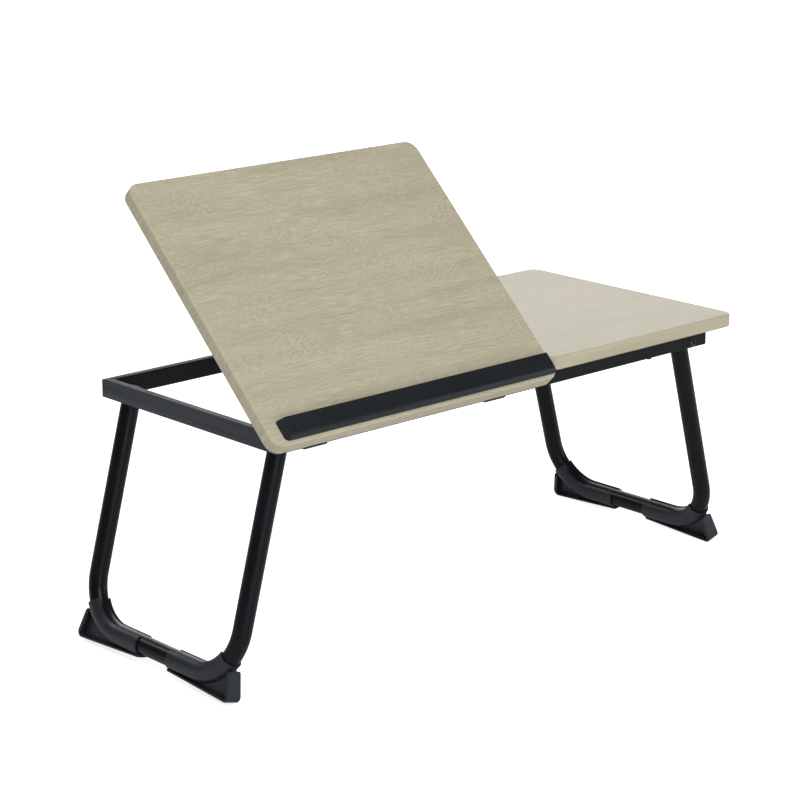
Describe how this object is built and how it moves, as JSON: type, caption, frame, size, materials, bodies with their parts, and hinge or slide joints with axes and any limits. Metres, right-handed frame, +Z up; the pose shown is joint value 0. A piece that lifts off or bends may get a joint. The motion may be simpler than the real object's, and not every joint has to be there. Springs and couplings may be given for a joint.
{
  "type": "folding computer table",
  "caption": "Low folding computer table with a tilting laptop board, a fixed side board, a tube frame and fold-under U-shaped legs on plastic shoes.",
  "frame": {"origin": "on the floor under the centre of the frame, midway between the legs", "axes": "+X along the table towards the fixed top, +Y to the back, +Z up"},
  "size_m": [0.7466, 0.3336, 0.4951],
  "materials": {
    "tilting_board": "foil-faced board, fine pale oak grain",
    "fixed_board": "foil-faced board, fine pale oak grain",
    "frame_coat": "satin black powder coat on rectangular steel tube",
    "leg_coat": "satin black powder coat on round steel tube",
    "hinge_coat": "satin black coat on pressed steel",
    "shoe_plastic": "moulded black plastic, fine matt grain",
    "stop_plastic": "moulded black plastic, satin",
    "black_fasteners": "blackened steel",
    "zinc_fasteners": "zinc-plated steel"
  },
  "bodies": {
    "frame": {"frame_front_rail": "frame_coat", "frame_rear_rail": "frame_coat", "frame_left_rail": "frame_coat", "frame_right_rail": "frame_coat", "rack_channel": "frame_coat", "fixed_top": "fixed_board", "fixed_top_screws": "black_fasteners", "left_hinge_frame_leaf": "hinge_coat", "right_hinge_frame_leaf": "hinge_coat", "hinge_pins": "zinc_fasteners", "hinge_rivets": "black_fasteners", "leg_pivot_bolts": "black_fasteners", "leg_pivot_spacers": "shoe_plastic", "leg_pivot_washers": "zinc_fasteners", "leg_pivot_nuts": "zinc_fasteners"},
    "tilting_top": {"tilting_top": "tilting_board", "left_hinge_top_leaf": "hinge_coat", "right_hinge_top_leaf": "hinge_coat", "hinge_screws": "zinc_fasteners", "stop_bar": "stop_plastic", "stop_bar_screws": "zinc_fasteners", "prop_clip_screws": "zinc_fasteners", "prop_clip_left": "shoe_plastic", "prop_clip_right": "shoe_plastic"},
    "prop": {"prop_wire": "leg_coat"},
    "left_leg": {"left_leg_tube": "leg_coat", "left_leg_plugs": "shoe_plastic", "left_front_foot": "shoe_plastic", "left_rear_foot": "shoe_plastic"},
    "right_leg": {"right_leg_tube": "leg_coat", "right_leg_plugs": "shoe_plastic", "right_front_foot": "shoe_plastic", "right_rear_foot": "shoe_plastic"}
  },
  "joints": [
    {"name": "top_tilt", "type": "hinge", "parent": "frame", "child": "tilting_top", "pos_m": [0, -0.1476, 0.26267], "axis": [1, 0, 0], "range_deg": [-44.3, 0]},
    {"name": "prop_swing", "type": "hinge", "parent": "tilting_top", "child": "prop", "pos_m": [-0.149, -0.064, 0.35096], "axis": [1, 0, 0], "range_deg": [0, 88.6]},
    {"name": "left_leg_fold", "type": "hinge", "parent": "frame", "child": "left_leg", "pos_m": [-0.2957, 0, 0.25917], "axis": [0, 1, 0], "range_deg": [-105.18, 0]},
    {"name": "right_leg_fold", "type": "hinge", "parent": "frame", "child": "right_leg", "pos_m": [0.2957, 0, 0.25917], "axis": [0, 1, 0], "range_deg": [0, 105.18]}
  ],
  "couplings": [
    {"joint": "prop_swing", "follows": "top_tilt", "ratio": -2}
  ]
}
